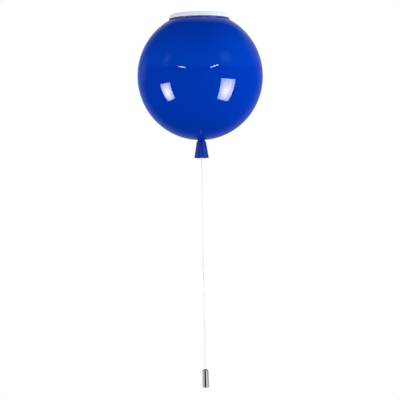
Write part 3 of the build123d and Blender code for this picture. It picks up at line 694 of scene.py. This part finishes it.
def filled_out(outline, reach):
    """The outline with its long runs divided, so that flutes along them stay smooth."""
    points = []
    for a, b in zip(outline, outline[1:] + outline[:1]):
        parts = max(1, round(hypot(b[0] - a[0], b[1] - a[1]) / reach))
        for part in range(parts):
            t = part / parts
            points.append((a[0] + (b[0] - a[0]) * t, a[1] + (b[1] - a[1]) * t))
    return points


neck = show(
    "neck_skirt",
    lathe("neck_skirt", filled_out(neck_outline, 1.0 * MM), 192, shape=pleat),
    "shade",
    neck_blue,
    ["balloon_neck"],
    sharp=60,
)

# --------------------------------------------------------------------------- weight on cord

WEIGHT_HOLE = 1.2 * MM
WEIGHT_FLAT = 2.9 * MM
WEIGHT_SHOULDER = 6.2 * MM
WEIGHT_RADIUS = weight_high.x
WEIGHT_POCKET = 3.6 * MM
WEIGHT_POCKET_TOP = -730.4 * MM
BEVEL_DROP = 3.5 * MM

weight_outline = rounded(
    [
        (WEIGHT_HOLE, weight_high.z, 0.25 * MM),
        (WEIGHT_FLAT, weight_high.z, 0.35 * MM),
        (WEIGHT_SHOULDER, weight_high.z - BEVEL_DROP, 0.7 * MM),
        (WEIGHT_RADIUS, weight_low.z + 3.0 * MM, 0.5 * MM),
        (WEIGHT_RADIUS, weight_low.z, 2.8 * MM),
        (WEIGHT_POCKET, weight_low.z, 0.25 * MM),
        (WEIGHT_POCKET, WEIGHT_POCKET_TOP, 0.3 * MM),
        (WEIGHT_HOLE, WEIGHT_POCKET_TOP, 0.2 * MM),
    ],
    steps=8,
)
weight = show(
    "pull_weight",
    lathe("pull_weight", weight_outline, 96),
    "pull",
    chrome,
    ["cord_weight"],
)

# ----------------------------------------------------------------------------- white ring

shoulder_radius = RING_TOP_RADIUS + RING_SHOULDER * 0.75
pan_outline = rounded(
    [
        (0, CUP_FLOOR, 0),
        (CUP_RADIUS, CUP_FLOOR, 1.2 * MM),
        (CUP_RADIUS, -RING_HEIGHT, 0.3 * MM),
        (RING_BASE_RADIUS, -RING_HEIGHT, 0.35 * MM),
        (shoulder_radius, -RING_SHOULDER, 1.0 * MM),
        (RING_TOP_RADIUS, 0, 0.3 * MM),
        (RING_TOP_RADIUS - SHEET, 0, 0.3 * MM),
        (shoulder_radius - SHEET, -RING_SHOULDER - SHEET / 2, 0.9 * MM),
        (RING_BASE_RADIUS - SHEET, SHEET - RING_HEIGHT, 0.2 * MM),
        (CUP_RADIUS - SHEET, SHEET - RING_HEIGHT, 0.9 * MM),
        (CUP_RADIUS - SHEET, CUP_FLOOR + SHEET, 0.8 * MM),
        (0, CUP_FLOOR + SHEET, 0),
    ]
)
pan_cutters = []
for heading, width, height in NOTCHES:
    turn = Matrix.Rotation(radians(heading), 4, "Z")
    place = turn @ Matrix.Translation((RING_TOP_RADIUS, 0, 0))
    pan_cutters.append(box_mesh((NOTCH_LENGTH, width, 2 * height), place))


def floor_hole(x, y, radius):
    """A cutter through the pan's floor."""
    return rod_mesh(radius, 4 * MM, Matrix.Translation((x, y, CUP_FLOOR + SHEET / 2)))


block_low, block_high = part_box("terminal_block_screw")
earth_low, earth_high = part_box("earth_screw")
WASHER_RADIUS = 4.5 * MM
STUD_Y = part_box("stud_washers")[1].y - WASHER_RADIUS
SCREW_HEAD_RADIUS = 2.7 * MM
HOLDER_SCREW_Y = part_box("holder_screws")[1].y - SCREW_HEAD_RADIUS
NOZZLE_HOLE = 5.15 * MM
STUD_HOLE = 2.25 * MM
WIRE_HOLE = 6.5 * MM
SCREW_HOLE = 1.6 * MM
EARTH_HOLE = 2.1 * MM
RIVET_HOLE = 1.65 * MM
pan_cutters += [
    floor_hole(0, 0, NOZZLE_HOLE),
    floor_hole(0, STUD_Y, STUD_HOLE),
    floor_hole(0, -STUD_Y, STUD_HOLE),
    floor_hole(LAMP_X, 0, WIRE_HOLE),
    floor_hole(LAMP_X, HOLDER_SCREW_Y, SCREW_HOLE),
    floor_hole(LAMP_X, -HOLDER_SCREW_Y, SCREW_HOLE),
    floor_hole((block_low.x + block_high.x) / 2, (block_low.y + block_high.y) / 2, SCREW_HOLE),
    floor_hole((earth_low.x + earth_high.x) / 2, (earth_low.y + earth_high.y) / 2, EARTH_HOLE),
]
CLIP_HEADINGS = (90, 210, 330)
RIVET_Z = CUP_FLOOR + 5 * MM
CUTTER_LENGTH = 6 * MM
for heading in CLIP_HEADINGS:
    turn = Matrix.Rotation(radians(heading), 4, "Z")
    lying = Matrix.Translation((CUP_RADIUS, 0, RIVET_Z)) @ Matrix.Rotation(radians(90), 4, "Y")
    pan_cutters.append(rod_mesh(RIVET_HOLE, CUTTER_LENGTH, turn @ lying))
# Keeps the turned mesh's edges off the holes' own corners
PAN_TURN = radians(0.4)
pan_mesh = lathe("ring_and_cup", pan_outline, 240)
pan_mesh.transform(Matrix.Rotation(PAN_TURN, 4, "Z"))
show(
    "ring_and_cup",
    cut(pan_mesh, pan_cutters),
    "canopy",
    ring_white_blue_bounce,
    ["canopy_pan"],
    sharp=35,
)

# -------------------------------------------------------------------- switch's return spring

spring_low, spring_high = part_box("return_spring")
spring_length = spring_high.z - spring_low.z
SPRING_RADIUS = 3.0 * MM
SPRING_WIRE = 0.28 * MM
SPRING_TURNS = 4.5
STEPS_PER_TURN = 44
WIRE_SIDES = 10
CLOSED_SHARE = 0.14
CLOSED_RISE = 0.12


def coil_height(share):
    """Rise of the spring's wire, from 0 to 1, with nearly flat turns at both ends."""
    open_share = min(1, max(0, (share - CLOSED_SHARE) / (1 - 2 * CLOSED_SHARE)))
    return CLOSED_RISE * share + (1 - CLOSED_RISE) * open_share


def coil_rows():
    """Rings of points along a round wire, wound into the spring's coil."""
    rows = []
    count = round(SPRING_TURNS * STEPS_PER_TURN)
    for index in range(count + 1):
        share = index / count
        turn = tau * SPRING_TURNS * share
        out = Vector((cos(turn), sin(turn), 0))
        rise = (spring_length - 2 * SPRING_WIRE) * coil_height(share)
        middle = out * SPRING_RADIUS + Vector((0, 0, spring_low.z + SPRING_WIRE + rise))
        row = []
        for side in range(WIRE_SIDES):
            angle = tau * side / WIRE_SIDES
            row.append(middle + SPRING_WIRE * (out * cos(angle) + Vector((0, 0, sin(angle)))))
        rows.append(row)
    return rows


spring = show(
    "coil_spring",
    tube("coil_spring", coil_rows()),
    "canopy",
    spring_steel,
    ["return_spring"],
)
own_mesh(spring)

# ----------------------------------------------------------- CAD nodes that keep their shape

LOOKS = {
    "ceiling_bracket": zinc,
    "bracket_studs": zinc,
    "stud_washers": zinc,
    "cap_nuts": zinc,
    "clip_rivets": zinc,
    "terminal_block_screw": zinc,
    "earth_screw": zinc,
    "earth_washer": zinc,
    "earth_nut": zinc,
    "holder_screws": zinc,
    "nozzle_washer": zinc,
    "nozzle_nut": zinc,
    "spring_clips": spring_steel,
    "terminal_inserts": brass,
    "terminal_screws": brass,
    "earth_tag": brass,
    "holder_terminals": brass,
    "fixed_contacts": brass,
    "rotor_contact": brass,
    "switch_nozzle": brass,
    "cord_bushing": brass,
    "cord_ferrule": brass,
    "centre_contact": brass,
    "terminal_block": polyamide,
    "switch_housing": phenolic,
    "switch_cover": phenolic,
    "switch_shuttle": acetal,
    "switch_rotor": acetal,
    "holder_body": holder_white,
    "holder_insert": steatite,
    "screw_shell": nickel,
    "bulb_cap": nickel,
    "bulb_tip": nickel,
    "bulb_insulator": vitrite,
    "bulb_housing": lamp_white,
    "bulb_diffuser": diffuser,
    "led_board": board_white,
    "neck_gasket": rubber,
    "bushing_washer": rubber,
    "live_wire": wire_brown,
    "switched_wire": wire_brown,
    "neutral_wire": wire_blue,
    "earth_wire": wire_green,
    "end_knot": cord_white,
    "weight_plug": chrome,
}
BEVELLED = [
    "ceiling_bracket",
    "stud_washers",
    "cap_nuts",
    "earth_nut",
    "nozzle_nut",
    "nozzle_washer",
    "terminal_block",
    "switch_housing",
    "switch_cover",
    "switch_shuttle",
    "holder_body",
    "earth_tag",
    "fixed_contacts",
]
WELD_REACH = 0.001 * MM
EDGE_WIDTH = 0.18 * MM
for name, look in LOOKS.items():
    mesh = NODES[name].data
    mesh.materials.clear()
    mesh.materials.append(look)
    if name in BEVELLED:
        weld = NODES[name].modifiers.new("weld", "WELD")
        weld.merge_threshold = WELD_REACH
        bevel = NODES[name].modifiers.new("soft_edges", "BEVEL")
        bevel.width = EDGE_WIDTH
        bevel.segments = 2
        bevel.limit_method = "ANGLE"
        bevel.angle_limit = radians(50)
        bevel.use_clamp_overlap = True

# ----------------------------------------------------------------------------- floor, stage

FLOOR_Z = -1.5
FLOOR_RADIUS = 2.6
FADE_START = 0.35
FADE_END = FLOOR_RADIUS * 0.9

bm = bmesh.new()
bmesh.ops.create_circle(bm, cap_ends=True, segments=128, radius=FLOOR_RADIUS)
bmesh.ops.translate(bm, verts=bm.verts, vec=(0, 0, FLOOR_Z))
floor_mesh = as_mesh(bm, "studio_floor")
floor_look, tree, shader = material("studio_floor")
shader.inputs["Roughness"].default_value = 0.9
shader.inputs["Specular IOR Level"].default_value = 0.0
paper = noise(tree, 40, detail=3.0)
tree.links.new(
    blend_colours(tree, span(tree, paper, 0, 1), (0.93, 0.93, 0.93), (0.90, 0.90, 0.90)),
    shader.inputs["Base Color"],
)
place = tree.nodes.new("ShaderNodeTexCoord")
reach = flat_reach(tree, place.outputs["Object"])
# The paper fades out towards its edge
tree.links.new(span(tree, reach, 1.0, 0.0, start=FADE_START, end=FADE_END), shader.inputs["Alpha"])
floor_mesh.materials.append(floor_look)
floor = bpy.data.objects.new("studio_floor", floor_mesh)
floor.visible_glossy = False
scene.collection.objects.link(floor)

# -------------------------------------------------------------------------- light and world

GLOBE_MIDDLE = Vector((0, 0, GLOBE_CENTRE))
NECK_MIDDLE = (neck_low + neck_high) / 2
WEIGHT_MIDDLE = (weight_low + weight_high) / 2
CANOPY_MIDDLE = Vector((0, 0, -80 * MM))
LIGHT_DISTANCE = 2.0
WHITE = (1, 1, 1)
HAZE = (0.35, 0.62, 1)


def receivers(name, *parts):
    """A collection of the only parts that a light reaches, or that cast its shadows."""
    group = bpy.data.collections.new(name)
    for part in parts:
        group.objects.link(part)
    return group


globe_only = receivers("globe_only", globe)
weight_parts = receivers("weight_parts", weight, NODES["weight_plug"])
neck_only = receivers("neck_only", neck)
hidden_parts = receivers(
    "hidden_parts", *[NODES[name] for name in LOOKS if name not in ("neck_gasket", "weight_plug")]
)


def heading_vector(azimuth, elevation):
    """A direction from an azimuth, right of the front, and an elevation, in degrees."""
    a, e = radians(azimuth), radians(elevation)
    return Vector((sin(a) * cos(e), -cos(a) * cos(e), sin(e)))


def panel(name, width, height, strength, spot, aim, parts, blockers):
    """An area light for the gloss of some parts: its size and spot in metres, and its aim."""
    data = bpy.data.lights.new(name, "AREA")
    data.shape = "RECTANGLE"
    data.size = width
    data.size_y = height
    data.energy = strength * width * height * pi
    lamp = bpy.data.objects.new(name, data)
    lamp.location = spot
    lamp.rotation_mode = "QUATERNION"
    lamp.rotation_quaternion = aim
    lamp.visible_camera = False
    lamp.visible_diffuse = False
    lamp.light_linking.receiver_collection = parts
    lamp.light_linking.blocker_collection = blockers
    scene.collection.objects.link(lamp)
    return data


def softbox(
    name,
    azimuth,
    elevation,
    width,
    height,
    strength,
    edge=0.35,
    tilt=0.0,
    colour=WHITE,
    blockers=None,
):
    """An upright panel that the globe mirrors, dimmer towards its edge.

    azimuth and elevation are its direction from the globe's middle, in degrees; width and
    height its size in metres; edge its strength at the edge, as a share of the middle's.
    """
    spot = GLOBE_MIDDLE + heading_vector(azimuth, elevation) * LIGHT_DISTANCE
    upright = (-heading_vector(azimuth, 0)).to_track_quat("-Z", "Y")
    aim = upright @ Matrix.Rotation(radians(tilt), 3, "Z").to_quaternion()
    data = panel(name, width, height, strength, spot, aim, globe_only, blockers)
    data.color = colour
    data.use_nodes = True
    tree = data.node_tree
    surface = tree.nodes.new("ShaderNodeNewGeometry")
    centred = tree.nodes.new("ShaderNodeVectorMath")
    centred.operation = "SUBTRACT"
    centred.inputs[1].default_value = (0.5, 0.5, 0)
    tree.links.new(surface.outputs["Parametric"], centred.inputs[0])
    reach = flat_reach(tree, centred.outputs["Vector"])
    # Folds of the softbox's cloth, as fine upright streaks
    folds = tree.nodes.new("ShaderNodeTexNoise")
    folds.inputs["Scale"].default_value = 1.0
    folds.inputs["Detail"].default_value = 3.0
    stretch = tree.nodes.new("ShaderNodeMapping")
    stretch.inputs["Scale"].default_value = (14, 1.6, 1)
    tree.links.new(surface.outputs["Parametric"], stretch.inputs["Vector"])
    tree.links.new(stretch.outputs["Vector"], folds.inputs["Vector"])
    level = tree.nodes.new("ShaderNodeMath")
    level.operation = "MULTIPLY"
    tree.links.new(span(tree, reach, 1.0, edge, start=0.05, end=0.6), level.inputs[0])
    tree.links.new(span(tree, folds.outputs["Fac"], 0.78, 1.08), level.inputs[1])
    tree.links.new(level.outputs["Value"], tree.nodes["Emission"].inputs["Strength"])


# The globe's reflections: two softboxes, two thin strips under the level line, and faint glows
softbox("softbox_left", -66.9, -24.8, 0.69, 0.98, 24.0)
softbox("softbox_right", 51.4, -26.8, 0.90, 1.35, 24.0)
softbox("strip_left", -32.0, 11.8, 0.46, 0.063, 16.0, edge=0.7, tilt=-14)
softbox("strip_right", 26.2, 12.6, 0.53, 0.07, 16.0, edge=0.7, tilt=16)
softbox("glow_left", -65.0, 23.5, 0.58, 0.72, 0.7, edge=0.0, colour=HAZE)
softbox("glow_right", 50.5, 27.5, 0.90, 0.90, 0.75, edge=0.0, colour=HAZE)
softbox("glow_behind_right", 135.0, 24.4, 1.90, 1.40, 0.13, edge=0.0)
softbox("glow_behind_left", -124.0, 9.0, 0.85, 0.85, 0.18, edge=0.0)
softbox("glow_above", 176.0, 57.0, 1.40, 3.60, 0.50, edge=0.0, blockers=neck_only)


def card(name, place, parts, azimuth, elevation, width, height, strength, blockers=None):
    """A plain panel 1 m from a place, that only some parts mirror: all angles in degrees."""
    direction = heading_vector(azimuth, elevation)
    panel(
        name,
        2 * tan(radians(width / 2)),
        2 * tan(radians(height / 2)),
        strength,
        place + direction,
        (-direction).to_track_quat("-Z", "Y"),
        parts,
        blockers,
    )


# The chrome weight's: grey side cards, and a white one on the right
card("card_left", WEIGHT_MIDDLE, weight_parts, -64, -7, 66, 60, 0.38)
card("card_far_left", WEIGHT_MIDDLE, weight_parts, -138, -7, 78, 60, 0.24)
card("card_right", WEIGHT_MIDDLE, weight_parts, 46, -7, 46, 60, 0.72)
card("card_far_right", WEIGHT_MIDDLE, weight_parts, 126, -7, 100, 60, 0.07)
card("card_top", WEIGHT_MIDDLE, weight_parts, 0, 80, 50, 50, 0.16, blockers=neck_only)
# The neck's: a sheen along its left and right flutes
card("neck_left", NECK_MIDDLE, neck_only, -75, 18, 62, 50, 0.50)
card("neck_right", NECK_MIDDLE, neck_only, 46, 18, 47, 50, 0.70)
# The hidden parts', seen when the globe is down
card("panel_left", CANOPY_MIDDLE, hidden_parts, -60, 10, 60, 80, 1.1)
card("panel_right", CANOPY_MIDDLE, hidden_parts, 60, 10, 60, 80, 1.3)
card("panel_back", CANOPY_MIDDLE, hidden_parts, 180, 20, 80, 60, 0.9)
card("panel_low", CANOPY_MIDDLE, hidden_parts, 0, -70, 60, 60, 0.6)

world = bpy.data.worlds.new("studio")
scene.world = world
world.use_nodes = True
world.cycles.sampling_method = "NONE"
tree = world.node_tree
background = tree.nodes["Background"]
around = tree.nodes.new("ShaderNodeTexCoord")
axes = tree.nodes.new("ShaderNodeSeparateXYZ")
tree.links.new(around.outputs["Generated"], axes.inputs["Vector"])
right, away, up = (axes.outputs[axis] for axis in "XYZ")
rays = tree.nodes.new("ShaderNodeLightPath")
sharp_ray = rays.outputs["Is Singular Ray"]
diffuse_ray = rays.outputs["Is Diffuse Ray"]
camera_ray = rays.outputs["Is Camera Ray"]


def calc(operation, *values):
    """A Math node on values or sockets of the world."""
    node = tree.nodes.new("ShaderNodeMath")
    node.operation = operation
    for socket, value in zip(node.inputs, values):
        if isinstance(value, (int, float)):
            socket.default_value = value
        else:
            tree.links.new(value, socket)
    return node.outputs["Value"]


# Height of the normal on the globe that mirrors each direction to the camera
SIGHT = (GLOBE_MIDDLE - CAMERA_PLACE).normalized()
halfway = calc("MULTIPLY_ADD", away, -2.0 * SIGHT.y, 2.0)
halfway = calc("MULTIPLY_ADD", up, -2.0 * SIGHT.z, halfway)
halfway = calc("SQRT", calc("MAXIMUM", halfway, 0.0001))
facing = calc("DIVIDE", calc("SUBTRACT", up, SIGHT.z), halfway)

# The globe's sharp gloss mirrors a faint blue room above a level line, and blue round its rim,
# most on the left
UPPER_ROOM = 0.75
HORIZON = (0.080, 0.092)
RIM = 0.45
above = span(tree, facing, 0.0, UPPER_ROOM, start=HORIZON[0], end=HORIZON[1])
above = calc("MULTIPLY", above, span(tree, away, 1.0, 0.0, start=0.1, end=0.7))
above = calc("MULTIPLY", above, span(tree, up, 1.0, 0.0, start=0.45, end=0.95))
rim = span(tree, away, 0.0, RIM, start=0.66, end=0.94)
rim = calc("MULTIPLY", rim, span(tree, right, 1.0, 0.3, start=-0.3, end=0.3))
blue = calc("MULTIPLY", calc("ADD", above, rim), sharp_ray)

# Other gloss mirrors a dim room behind the camera, and every gloss a dim backdrop
backdrop = span(tree, away, 0.01, 0.18, start=0.55, end=0.9)
room = span(tree, away, 0.0, 0.18, start=-0.88, end=-0.55)
room = calc("MULTIPLY", room, calc("SUBTRACT", 1.0, sharp_ray))
mirrored = calc("ADD", calc("ADD", backdrop, room), blue)

# Soft light from all round: stronger from the sides, most from the right, weak from above
# and below
FROM_ALL = 1.19
FROM_SIDES = 0.92
FROM_RIGHT = 0.39
FROM_ABOVE = 0.04
LESS_UPRIGHT = -1.83
soft = calc("MULTIPLY_ADD", calc("MULTIPLY", right, FROM_SIDES), right, FROM_ALL)
soft = calc("MULTIPLY_ADD", right, FROM_RIGHT, soft)
soft = calc("MULTIPLY_ADD", up, FROM_ABOVE, soft)
soft = calc("MULTIPLY_ADD", calc("MULTIPLY", up, up), LESS_UPRIGHT, soft)
soft = calc("MAXIMUM", soft, 0.0)

# The camera sees plain white, diffuse rays the soft light, and the others what is mirrored
by_diffuse = tree.nodes.new("ShaderNodeMix")
tree.links.new(diffuse_ray, by_diffuse.inputs["Factor"])
tree.links.new(mirrored, by_diffuse.inputs["A"])
tree.links.new(soft, by_diffuse.inputs["B"])
by_camera = tree.nodes.new("ShaderNodeMix")
tree.links.new(camera_ray, by_camera.inputs["Factor"])
tree.links.new(by_diffuse.outputs["Result"], by_camera.inputs["A"])
by_camera.inputs["B"].default_value = 1.0
tree.links.new(by_camera.outputs["Result"], background.inputs["Strength"])
bluish = calc("DIVIDE", blue, mirrored)
bluish = calc("MULTIPLY", bluish, calc("SUBTRACT", 1.0, diffuse_ray))
bluish = calc("MULTIPLY", bluish, calc("SUBTRACT", 1.0, camera_ray))
tree.links.new(blend_colours(tree, bluish, WHITE, (0, 0.3, 1)), background.inputs["Color"])
